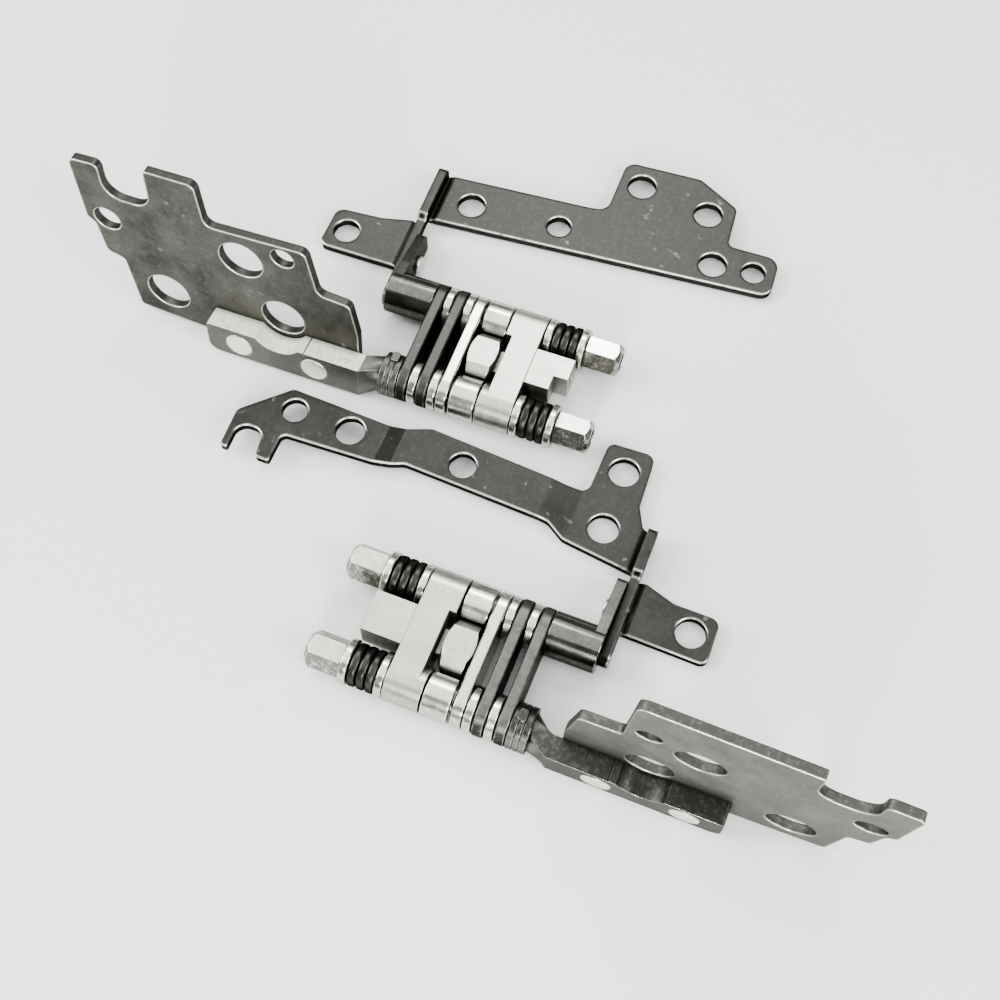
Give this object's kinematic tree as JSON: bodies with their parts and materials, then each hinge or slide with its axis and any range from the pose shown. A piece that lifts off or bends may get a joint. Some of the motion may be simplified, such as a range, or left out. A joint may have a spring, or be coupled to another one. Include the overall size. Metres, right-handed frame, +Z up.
{
  "type": "laptop hinge pair",
  "caption": "Left and right two-shaft friction hinges for a laptop with a lid that turns right round, each with stamped screw plates, links, cams, disc springs and nuts.",
  "frame": {"origin": "middle of the pair's footprint, on the surface that the two hinges lie on", "axes": "+X along the left hinge's shafts toward its nuts, +Y from its base shaft toward its lid shaft, +Z up, square to the links"},
  "size_m": [0.1144, 0.0862, 0.0274],
  "materials": {
    "plate_steel": "dark nickel plated stamped steel, dull and mottled, bright worn edges",
    "shaft_steel": "dark plated steel with bright rolled shoulders",
    "dark_shaft_steel": "dark polished turned steel",
    "bright_steel": "bright ground steel, slightly smeared with grease",
    "sintered_steel": "satin pressed steel",
    "spring_steel": "blackened spring steel",
    "nut_chrome": "bright plated, strong reflections"
  },
  "bodies": {
    "bases": {"left_base_shaft": "shaft_steel", "left_base_plate": "plate_steel", "left_base_rivets": "bright_steel", "left_base_washer_1": "bright_steel", "left_base_washer_2": "bright_steel", "left_base_cam": "bright_steel", "left_base_thrust_washer": "bright_steel", "left_base_disc_spring_1": "spring_steel", "left_base_disc_spring_2": "spring_steel", "left_base_disc_spring_3": "spring_steel", "left_base_end_washer": "bright_steel", "left_base_nut": "nut_chrome", "right_base_shaft": "shaft_steel", "right_base_plate": "plate_steel", "right_base_rivets": "bright_steel", "right_base_washer_1": "bright_steel", "right_base_washer_2": "bright_steel", "right_base_cam": "bright_steel", "right_base_thrust_washer": "bright_steel", "right_base_disc_spring_1": "spring_steel", "right_base_disc_spring_2": "spring_steel", "right_base_disc_spring_3": "spring_steel", "right_base_end_washer": "bright_steel", "right_base_nut": "nut_chrome"},
    "left_link": {"left_link_1": "plate_steel", "left_link_2": "plate_steel", "left_link_3": "bright_steel", "left_carrier": "sintered_steel"},
    "left_selector_block": {"left_selector": "sintered_steel"},
    "left_lid": {"left_lid_shaft": "dark_shaft_steel", "left_lid_rivet": "bright_steel", "left_lid_bracket": "plate_steel", "left_lid_washer_1": "bright_steel", "left_lid_washer_2": "bright_steel", "left_lid_cam": "bright_steel", "left_lid_thrust_washer": "bright_steel", "left_lid_disc_spring_1": "spring_steel", "left_lid_disc_spring_2": "spring_steel", "left_lid_disc_spring_3": "spring_steel", "left_lid_end_washer": "bright_steel", "left_lid_nut": "nut_chrome"},
    "right_link": {"right_link_1": "plate_steel", "right_link_2": "plate_steel", "right_link_3": "bright_steel", "right_carrier": "sintered_steel"},
    "right_selector_block": {"right_selector": "sintered_steel"},
    "right_lid": {"right_lid_shaft": "dark_shaft_steel", "right_lid_rivet": "bright_steel", "right_lid_bracket": "plate_steel", "right_lid_washer_1": "bright_steel", "right_lid_washer_2": "bright_steel", "right_lid_cam": "bright_steel", "right_lid_thrust_washer": "bright_steel", "right_lid_disc_spring_1": "spring_steel", "right_lid_disc_spring_2": "spring_steel", "right_lid_disc_spring_3": "spring_steel", "right_lid_end_washer": "bright_steel", "right_lid_nut": "nut_chrome"}
  },
  "joints": [
    {"name": "left_base_turn", "type": "hinge", "parent": "bases", "child": "left_link", "pos_m": [-0.01448, -0.00127, 0.0028], "axis": [1, 0, 0], "range_deg": [-115, 0]},
    {"name": "left_lid_turn", "type": "hinge", "parent": "left_link", "child": "left_lid", "pos_m": [-0.01448, 0.01073, 0.0028], "axis": [1, 0, 0], "range_deg": [-90, 90]},
    {"name": "left_selector_slide", "type": "slide", "parent": "left_link", "child": "left_selector_block", "axis": [0, -1, 0], "range_m": [-0.0002, 0.0005]},
    {"name": "right_base_turn", "type": "hinge", "parent": "bases", "child": "right_link", "pos_m": [0.01449, -0.03949, 0.0028], "axis": [0.9997, -0.0251, 0], "range_deg": [-180, 0]},
    {"name": "right_lid_turn", "type": "hinge", "parent": "right_link", "child": "right_lid", "pos_m": [0.01479, -0.02749, 0.0028], "axis": [0.9997, -0.0251, 0], "range_deg": [-90, 90]},
    {"name": "right_selector_slide", "type": "slide", "parent": "right_link", "child": "right_selector_block", "axis": [-0.0251, -0.9997, 0], "range_m": [-0.0002, 0.0005]}
  ]
}
